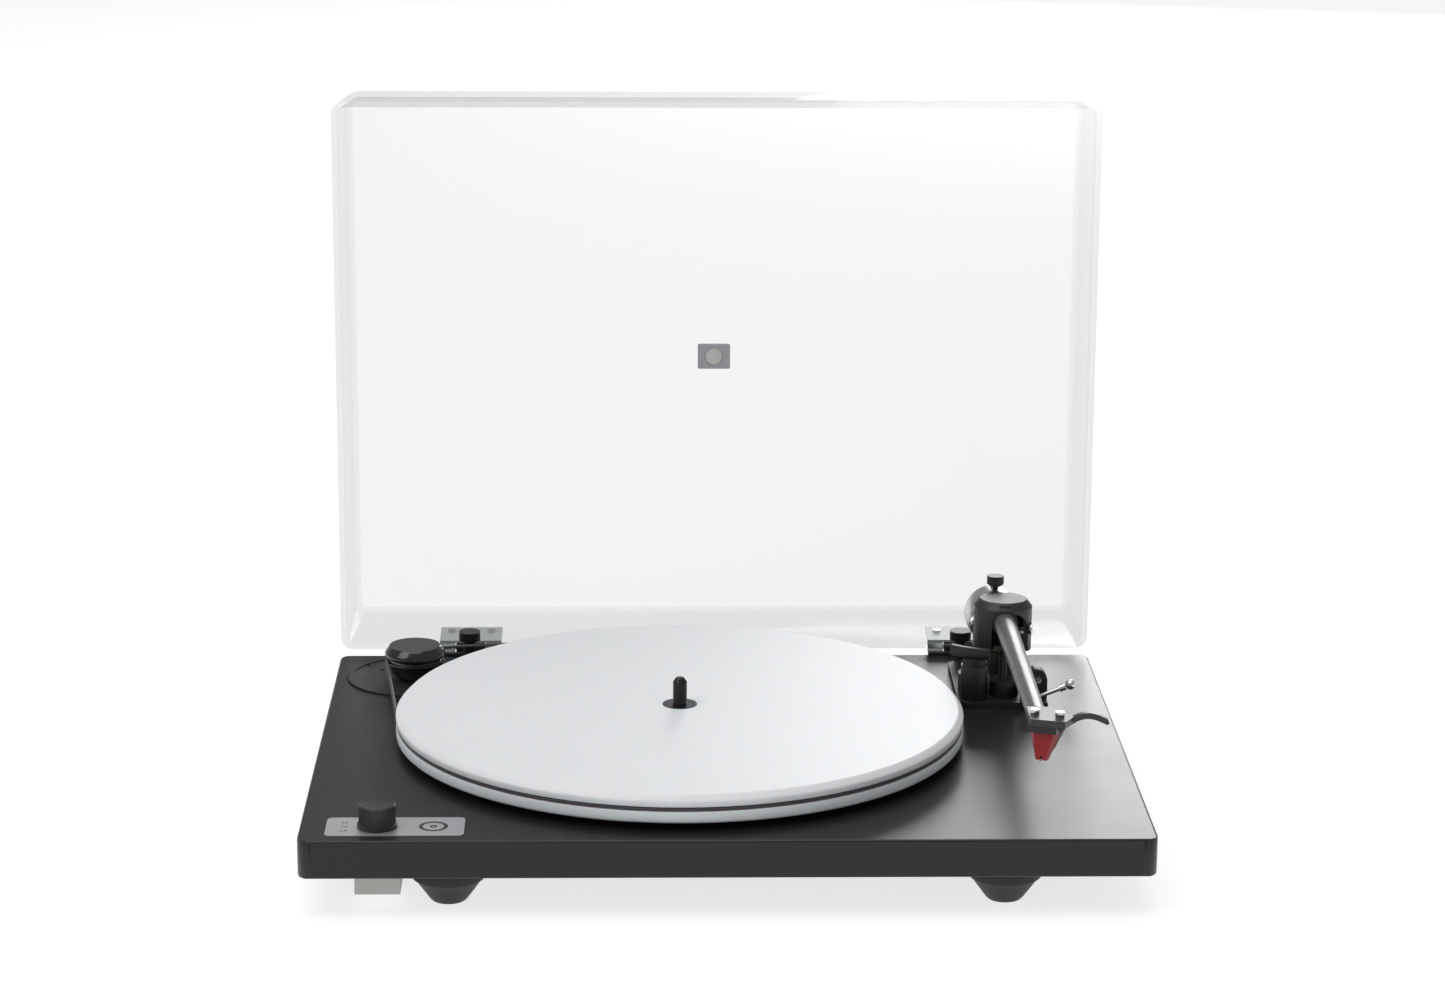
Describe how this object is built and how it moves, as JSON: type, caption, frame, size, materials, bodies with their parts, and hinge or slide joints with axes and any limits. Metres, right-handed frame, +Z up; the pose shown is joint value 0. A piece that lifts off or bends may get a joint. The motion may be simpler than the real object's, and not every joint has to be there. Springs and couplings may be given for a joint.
{
  "type": "turntable record player",
  "caption": "Belt-drive record player with a flat dark plinth, frosted platter, straight tonearm with a red stylus unit and a hinged clear dust cover standing open",
  "frame": {"origin": "on the floor under the middle of the player's box, cover open", "axes": "+X to the player's right, +Y to its back where the cover hinges, +Z up along the spindle"},
  "size_m": [0.4128, 0.3714, 0.3467],
  "materials": {
    "plinth_paint": "satin charcoal lacquer",
    "foot_rubber": "soft near-black rubber",
    "steel": "plain machined steel",
    "black_steel": "blackened steel",
    "bronze": "sintered bronze",
    "frosted_acrylic": "frosted white acrylic",
    "gloss_black": "gloss black moulding",
    "satin_black": "satin black moulding",
    "belt_rubber": "grey elastic belt",
    "badge_metal": "brushed silver plate",
    "pale_plastic": "pale grey housing",
    "clear_acrylic": "clear acrylic",
    "pad_plastic": "grey translucent pad",
    "hinge_pale": "pale translucent plate",
    "hinge_black": "black coated leaf",
    "tube_grey": "satin dark grey anodised tube",
    "arm_black": "satin black casting",
    "shell_grey": "dark grey casting",
    "cartridge_black": "black moulding",
    "stylus_red": "dark red moulding",
    "weight_metal": "bright turned metal",
    "bright_screw": "bright plated screw",
    "gold_contact": "gilt socket"
  },
  "bodies": {
    "base": {"plinth": "plinth_paint", "feet": "foot_rubber", "foot_screws": "steel", "bearing_housing": "black_steel", "bearing_bush": "bronze", "bearing_ball": "steel", "motor_plate": "satin_black", "motor_plate_screws": "black_steel", "motor_ring": "foot_rubber", "motor_can": "steel", "belt": "belt_rubber", "badge_plate": "badge_metal", "switch_housing": "pale_plastic", "hinge_base_leaves": "hinge_black", "hinge_pins": "steel", "arm_base": "satin_black", "arm_base_screws": "black_steel", "arm_pillar": "satin_black", "arm_bush": "bronze", "lift_column": "satin_black", "rest_post": "satin_black", "lever_bracket": "satin_black", "bracket_screw": "bright_screw", "socket_panel": "hinge_black", "signal_sockets": "gold_contact", "power_socket": "satin_black", "panel_screws": "black_steel"},
    "cover": {"dust_cover": "clear_acrylic", "cover_pad": "pad_plastic", "hinge_cover_leaves": "hinge_pale", "hinge_screws": "bright_screw"},
    "turning": {"spindle": "black_steel", "hub": "black_steel", "platter": "frosted_acrylic"},
    "drive": {"motor_shaft": "steel", "pulley": "gloss_black"},
    "switch": {"knob": "satin_black", "knob_shaft": "steel"},
    "screw_left": {"thumbscrew_left": "satin_black"},
    "screw_right": {"thumbscrew_right": "satin_black"},
    "swivel": {"arm_shaft": "steel", "arm_yoke": "arm_black"},
    "arm": {"arm_housing": "arm_black", "pivot_screws": "bright_screw", "arm_tube": "tube_grey", "headshell": "shell_grey", "headshell_screws": "bright_screw", "cartridge_body": "cartridge_black", "stylus_unit": "stylus_red", "cantilever": "bright_screw", "weight_stub": "tube_grey"},
    "weight": {"counterweight": "weight_metal"},
    "weight_clamp": {"weight_screw": "satin_black"},
    "lever": {"cue_lever": "bright_screw", "lever_ball": "bright_screw"},
    "lift": {"lift_piston": "satin_black", "lift_bar": "satin_black"}
  },
  "joints": [
    {"name": "cover_hinge", "type": "hinge", "parent": "base", "child": "cover", "pos_m": [0, 0.1234, 0.04225], "axis": [1, 0, 0], "range_deg": [0, 90]},
    {"name": "platter_spin", "type": "hinge", "parent": "base", "child": "turning", "pos_m": [-0.02135, -0.0267, 0.03905], "axis": [0, 0, -1], "continuous": true},
    {"name": "pulley_spin", "type": "hinge", "parent": "base", "child": "drive", "pos_m": [-0.1634, 0.0791, 0.03905], "axis": [0, 0, -1], "continuous": true},
    {"name": "knob_turn", "type": "hinge", "parent": "base", "child": "switch", "pos_m": [-0.1688, -0.1647, 0.03905], "axis": [0, 0, -1], "range_deg": [0, 90]},
    {"name": "screw_left_turn", "type": "hinge", "parent": "base", "child": "screw_left", "pos_m": [-0.135, 0.1096, 0.03905], "axis": [0, 0, -1], "range_deg": [0, 360]},
    {"name": "screw_right_turn", "type": "hinge", "parent": "base", "child": "screw_right", "pos_m": [0.135, 0.1096, 0.03905], "axis": [0, 0, -1], "range_deg": [0, 360]},
    {"name": "arm_swing", "type": "hinge", "parent": "base", "child": "swivel", "pos_m": [0.15426, 0.0723, 0.06965], "axis": [0, 0, -1], "range_deg": [0, 49]},
    {"name": "arm_pitch", "type": "hinge", "parent": "swivel", "child": "arm", "pos_m": [0.15426, 0.0723, 0.06965], "axis": [-0.9272, 0.3746, 0], "range_deg": [-2.2, 2.6]},
    {"name": "weight_slide", "type": "slide", "parent": "arm", "child": "weight", "axis": [-0.0703, 0.997, -0.0321], "range_m": [-0.0015, 0.005]},
    {"name": "weight_screw_turn", "type": "hinge", "parent": "weight", "child": "weight_clamp", "pos_m": [0.15242, 0.09938, 0.07348], "axis": [0.0134, 0.0332, 0.9994], "range_deg": [0, 180]},
    {"name": "cue_lever_turn", "type": "hinge", "parent": "base", "child": "lever", "pos_m": [0.1635, 0.0183, 0.04405], "axis": [0, -1, 0], "range_deg": [0, 60]},
    {"name": "cue_lift", "type": "slide", "parent": "base", "child": "lift", "axis": [0, 0, -1], "range_m": [0, 0.003]}
  ],
  "couplings": [
    {"joint": "pulley_spin", "follows": "platter_spin", "ratio": 9.4156},
    {"joint": "cue_lift", "follows": "cue_lever_turn", "m_per_rad": 0.00286}
  ]
}
